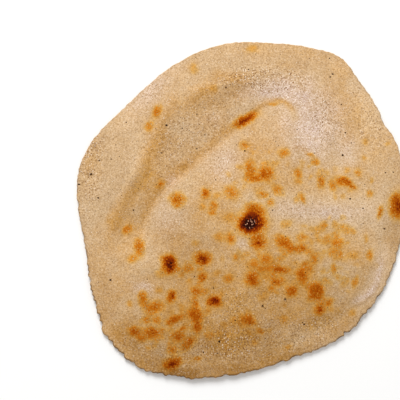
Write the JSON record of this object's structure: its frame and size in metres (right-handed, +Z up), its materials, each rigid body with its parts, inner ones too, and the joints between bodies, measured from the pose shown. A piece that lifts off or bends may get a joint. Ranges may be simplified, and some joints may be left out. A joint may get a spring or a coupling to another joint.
{
  "type": "chapati flatbread",
  "caption": "Round unleavened flatbread with a puffed and sunken middle, a long curved crease, a thin uneven rim and scattered toasted spots.",
  "frame": {"origin": "on the resting surface, under the middle of the bread's bounding box", "axes": "+Z up, out of the puffed side; +Y across the bread's longest extent, toward the end of its crease; +X to the right of that"},
  "size_m": [0.1762, 0.1814, 0.0139],
  "materials": {
    "baked_dough": null
  },
  "bodies": {
    "root": {"chapati": "baked_dough"}
  },
  "joints": []
}
